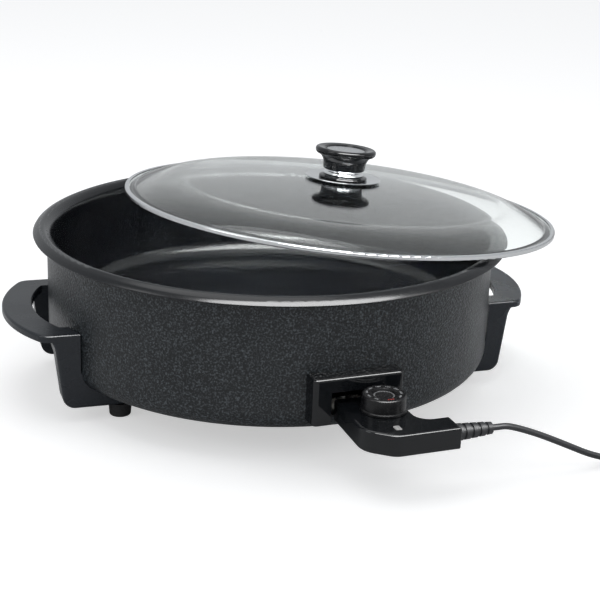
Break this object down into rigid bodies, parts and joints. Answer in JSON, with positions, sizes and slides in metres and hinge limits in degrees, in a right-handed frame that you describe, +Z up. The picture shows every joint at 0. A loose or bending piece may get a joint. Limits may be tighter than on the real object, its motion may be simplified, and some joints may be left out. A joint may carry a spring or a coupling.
{
  "type": "electric skillet",
  "caption": "Round electric skillet: dark hammered casing, non-stick pan, side handles on feet, loose domed glass lid laid ajar, and a plug-in dial controller with a coiled cord.",
  "frame": {"origin": "on the floor, below the middle of the bounding box of everything but the cord, its coil, tie and plug", "axes": "+Z up; -Y towards the side the socket and controller face; the two handles lie near -X and +X"},
  "size_m": [0.606, 0.5813, 0.2017],
  "materials": {
    "nonstick": "satin black non-stick coat on aluminium",
    "hammered_paint": "dark grey hammered enamel",
    "base_steel": "black heat-proof paint",
    "screw_steel": "zinc-plated",
    "bright_sheet": "bright plated sheet",
    "aluminium_plate": "plain rolled",
    "element_sheath": "heat-tinted sheath",
    "ceramic": "white ceramic",
    "pin_steel": "drawn stainless",
    "gloss_black": "polished phenolic",
    "handle_black": "semi-gloss phenolic",
    "foot_rubber": "matte",
    "lamp_lens": "tinted clear",
    "lamp_glass": "clear tube",
    "contact_brass": "plain",
    "cord_black": "satin sheath",
    "tie_strap": "matte strap",
    "polished_steel": "polished stainless",
    "lid_glass": "clear tempered, slight green edge",
    "chrome": "bright",
    "knob_insert": "satin grey cap",
    "seal_rubber": "translucent silicone"
  },
  "bodies": {
    "pan": {"inner_pan": "nonstick", "outer_casing": "hammered_paint", "base_plate": "base_steel", "base_screws": "screw_steel", "heat_reflector": "bright_sheet", "spreader_plate": "aluminium_plate", "heating_element": "element_sheath", "element_clips": "bright_sheet", "terminal_bracket": "bright_sheet", "pin_bushes": "ceramic", "terminal_pins": "pin_steel", "probe_guide": "pin_steel", "socket_shroud": "gloss_black", "shroud_screws": "screw_steel", "handle_left": "handle_black", "handle_right": "handle_black", "foot_left_rear": "foot_rubber", "foot_left_front": "foot_rubber", "foot_right_front": "foot_rubber", "foot_right_rear": "foot_rubber", "foot_screws": "screw_steel", "foot_nuts": "screw_steel"},
    "lid": {"lid_rim": "polished_steel", "lid_glass": "lid_glass", "knob_disc": "polished_steel", "knob_washer": "gloss_black", "knob_collar": "chrome", "lid_knob": "gloss_black", "knob_insert": "knob_insert", "lid_seal": "seal_rubber", "knob_screw": "screw_steel"},
    "controller": {"controller_base": "gloss_black", "controller_cover": "gloss_black", "controller_screws": "screw_steel", "lamp_lens": "lamp_lens", "pilot_lamp": "lamp_glass", "contact_sleeves": "contact_brass", "temperature_probe": "pin_steel", "thermostat_frame": "bright_sheet", "ceramic_stack": "ceramic", "contact_leaves": "contact_brass", "spindle_bush": "contact_brass", "strain_relief": "cord_black", "cord_lead": "cord_black", "cord_coil": "cord_black", "cord_tail": "cord_black", "cord_tie": "tie_strap", "plug_body": "cord_black", "plug_pins": "contact_brass"},
    "dial": {"dial": "gloss_black", "dial_spindle": "pin_steel"}
  },
  "joints": [
    {"name": "lid_lift", "type": "slide", "parent": "pan", "child": "lid", "axis": [0, 0, 1], "range_m": [0, 0.15]},
    {"name": "controller_pull", "type": "slide", "parent": "pan", "child": "controller", "axis": [0.3469, -0.9379, 0], "range_m": [0, 0.09]},
    {"name": "dial_turn", "type": "hinge", "parent": "controller", "child": "dial", "pos_m": [0.07669, -0.21106, 0.07], "axis": [0, 0, -1], "range_deg": [0, 270]}
  ]
}
